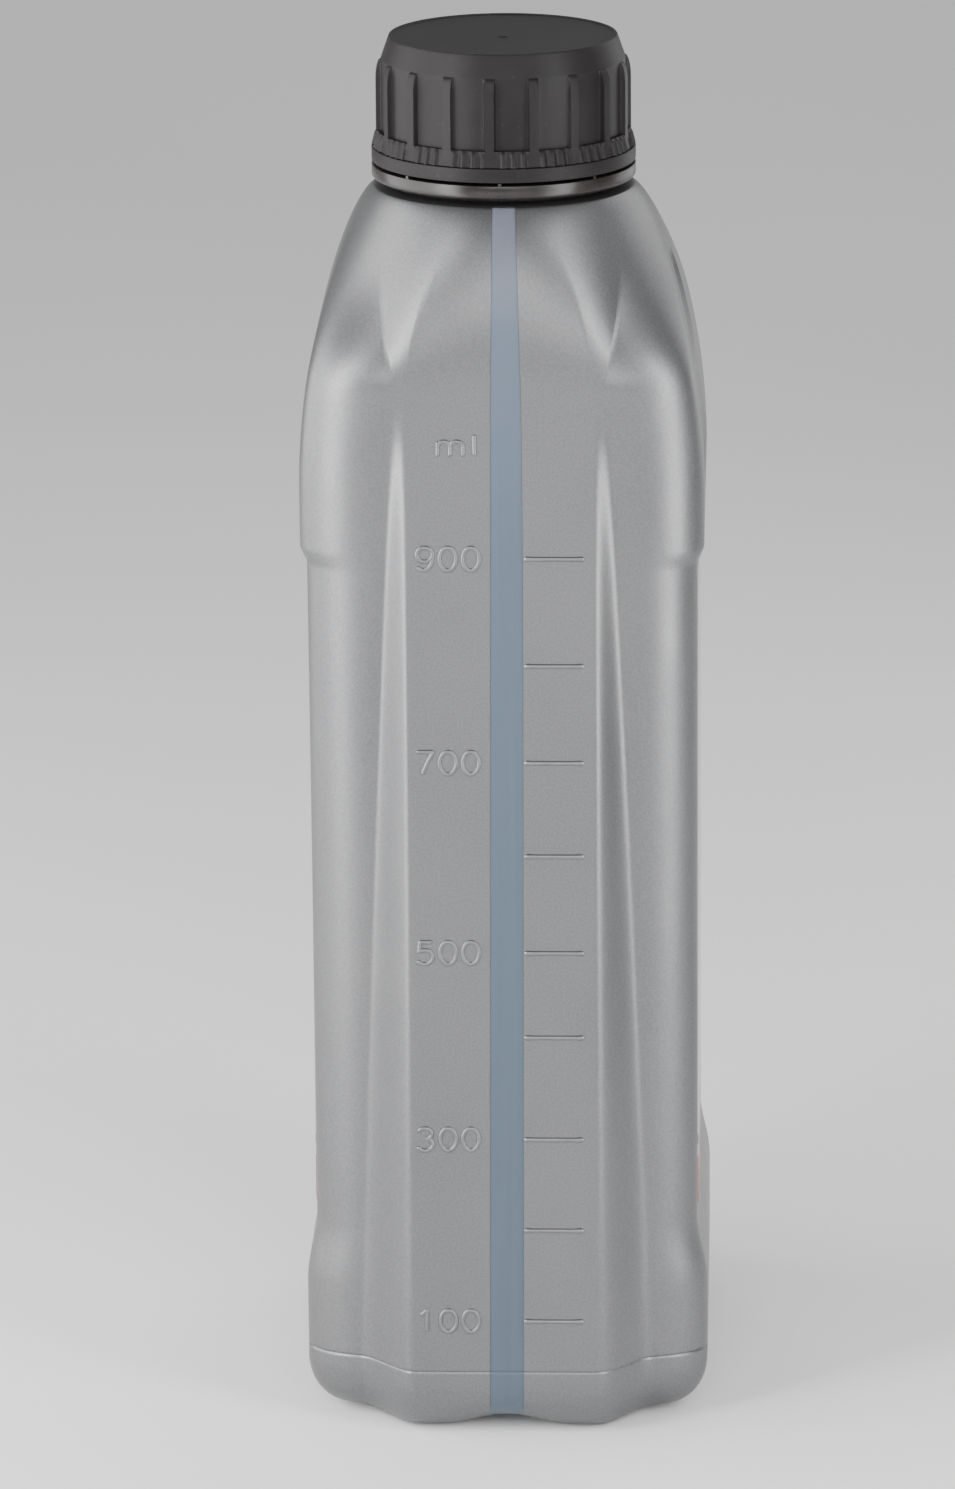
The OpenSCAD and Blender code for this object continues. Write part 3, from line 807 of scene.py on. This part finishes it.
def cap_paint():
    p = Paint("charcoal_satin_plastic", IOR=1.5, Specular_IOR_Level=0.2)
    cloud = p.noise(90, 3, 0.6)
    base = p.ramp(cloud, [(0.3, (0.009, 0.008, 0.008)), (0.7, (0.014, 0.012, 0.012))])
    fleck = p.range(p.noise(1400, 1), 0.70, 0.78, 0.0, 0.35)
    base = p.blend(fleck, base, (0.05, 0.042, 0.038))
    p.colour(base)
    p.rough(45, 3, 0.42, 0.54)
    grain = p.bump(p.noise(2200, 2, 0.6), 0.25, 0.00005)
    p.bump(p.noise(300, 2, 0.5), 0.10, 0.0001, grain)
    return p.material


def band_paint():
    p = Paint("charcoal_gloss_plastic", IOR=1.5)
    # The brownish warmth and the lighter streaks running up the band are a painted reflection of
    # warm surroundings. The near-black ground is the band's own charcoal colour.
    warm_reflection_streaks = p.noise(260, 3, 0.55, (1.0, 1.0, 0.15))
    base = p.ramp(warm_reflection_streaks, [(0.3, (0.008, 0.006, 0.006)), (0.7, (0.016, 0.012, 0.010))])
    p.colour(base)
    p.rough(120, 3, 0.22, 0.36)
    p.bump(p.noise(400, 2, 0.5), 0.10, 0.0001)
    return p.material


def liner_paint():
    p = Paint("foam_liner", IOR=1.45)
    p.colour(p.ramp(p.noise(1200, 3), [(0.3, (0.66, 0.65, 0.60)), (0.7, (0.78, 0.77, 0.73))]))
    p.rough(400, 2, 0.65, 0.8)
    p.bump(p.noise(2500, 2), 0.4, 0.0001)
    return p.material


def label_paint(name, ground, field, stripe):
    """Printed film with plain colour fields: a ground, a lower field and a thin stripe."""
    p = Paint(name, IOR=1.5, Coat_Weight=0.25, Coat_Roughness=0.12)
    z = p.node("ShaderNodeSeparateXYZ", {"Vector": p.place}).outputs["Z"]
    low, high = (corner.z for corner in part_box("front_label"))

    def at(part):
        return mix(low, high, part)

    lower = p.range(z, at(0.08), at(0.0805), 1.0, 0.0)
    colour = p.blend(lower, ground, field)
    in_stripe = p.product(p.range(z, at(0.10), at(0.1005), 0.0, 1.0),
                          p.range(z, at(0.115), at(0.1155), 1.0, 0.0))
    colour = p.blend(in_stripe, colour, stripe)
    colour = p.blend(p.range(p.noise(500, 2), 0.3, 0.7, 0.0, 0.12), colour, (0.5, 0.5, 0.5))
    p.colour(colour)
    p.rough(150, 3, 0.25, 0.36)
    p.bump(p.noise(180, 2), 0.12, 0.0001)
    return p.material


def floor_paint():
    p = Paint("pale_floor", IOR=1.3, Specular_IOR_Level=0.2)
    p.colour(p.ramp(p.noise(3, 2), [(0.3, (0.87, 0.87, 0.87)), (0.7, (0.90, 0.90, 0.90))]))
    p.rough(8, 2, 0.7, 0.8)
    return p.material


# The pieces

bottle = build_bottle(body_paint())
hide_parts("bottle")
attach(bottle, "bottle")

strip = build_strip(strip_paint())
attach(strip, "bottle")

scale = build_scale(scale_paint())
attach(scale, "bottle")

band = build_band(band_paint())
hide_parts("tamper_band")
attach(band, "bottle")

cap = build_cap(cap_paint())
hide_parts("cap")
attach(cap, "cap")

SILVER, RED, DARK = (0.42, 0.425, 0.44), (0.42, 0.012, 0.02), (0.05, 0.055, 0.065)
CARRIED = {
    "cap_liner": liner_paint(),
    "front_label": label_paint("front_label_print", SILVER, RED, DARK),
    "back_label": label_paint("back_label_print", SILVER, RED, DARK),
}
for name, material in CARRIED.items():
    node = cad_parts[name]
    for slot in node.material_slots:
        slot.material = material


# Stage, light and camera

def plane(name, size, place, material):
    """Level square on the stage."""
    mesh = bpy.data.meshes.new(name)
    h = size / 2
    mesh.from_pydata([(-h, -h, 0), (h, -h, 0), (h, h, 0), (-h, h, 0)], [], [(0, 1, 2, 3)])
    mesh.materials.append(material)
    obj = bpy.data.objects.new(name, mesh)
    obj.location = place
    bpy.context.scene.collection.objects.link(obj)


plane("floor", 8, (0, 0, -0.0002), floor_paint())


def softbox(name, place, target, width, height, power):
    """White panel light in metres and watts, turned to its target."""
    lamp = bpy.data.lights.new(name, "AREA")
    lamp.shape = "RECTANGLE"
    lamp.size, lamp.size_y = width, height
    lamp.energy = power
    obj = bpy.data.objects.new(name, lamp)
    obj.location = place
    aim = Vector(target) - Vector(place)
    obj.rotation_euler = aim.to_track_quat("-Z", "Y").to_euler()
    bpy.context.scene.collection.objects.link(obj)


softbox("left_wide", (-0.5, -0.1, 0.30), (0, 0, 0.28), 0.8, 0.6, 6.2)
softbox("left_near", (-0.27, -0.27, 0.28), (0, 0, 0.26), 0.12, 0.56, 1.5)
softbox("right_near", (0.29, -0.245, 0.28), (0, 0, 0.26), 0.12, 0.56, 1.9)
softbox("right_back", (0.42, 0.38, 0.35), (0, 0, 0.3), 0.4, 0.6, 1.1)
softbox("front_low", (0.0, -0.55, 0.08), (0, 0, 0.08), 0.5, 0.15, 0.4)
softbox("front_box", (0.1, -1.7, 0.9), (0, 0, 0.12), 1.2, 0.8, 13.0)
softbox("back_top", (0.0, 1.4, 1.9), (0, 1.4, 0), 1.6, 1.0, 13.0)

world = bpy.data.worlds.new("studio")
bpy.context.scene.world = world
world.use_nodes = True
sky = world.node_tree.nodes["Background"].inputs
sky["Color"].default_value = (1, 1, 1, 1)
sky["Strength"].default_value = 0.3

# Camera fitted to the photograph: where it stands, seen from the origin, and where it looks
AZ, EL, YAW, PITCH, ROLL = (math.radians(a) for a in (1.800, 15.4121, 2.0497, 15.6334, -0.4151))
DISTANCE, AIM_Z, FOCAL_PX, LONG_SIDE = 1.4, 0.118, 7873.6, 1489

cam = bpy.data.cameras.new("camera")
cam.lens = cam.sensor_width * FOCAL_PX / LONG_SIDE
cam.clip_start, cam.clip_end = 0.05, 50
camera = bpy.data.objects.new("camera", cam)
forward = Vector((-math.sin(YAW) * math.cos(PITCH), math.cos(YAW) * math.cos(PITCH),
                  -math.sin(PITCH)))
right = Vector((math.cos(YAW), math.sin(YAW), 0))
up = right.cross(forward)
rolled = right * math.cos(ROLL) + up * math.sin(ROLL)
up = up * math.cos(ROLL) - right * math.sin(ROLL)
place = Vector((math.sin(AZ) * math.cos(EL), -math.cos(AZ) * math.cos(EL), math.sin(EL)))
place *= DISTANCE
place.z += AIM_Z
camera.matrix_world = Matrix((
    (rolled.x, up.x, -forward.x, place.x),
    (rolled.y, up.y, -forward.y, place.y),
    (rolled.z, up.z, -forward.z, place.z),
    (0, 0, 0, 1)))
bpy.context.scene.collection.objects.link(camera)
bpy.context.scene.camera = camera
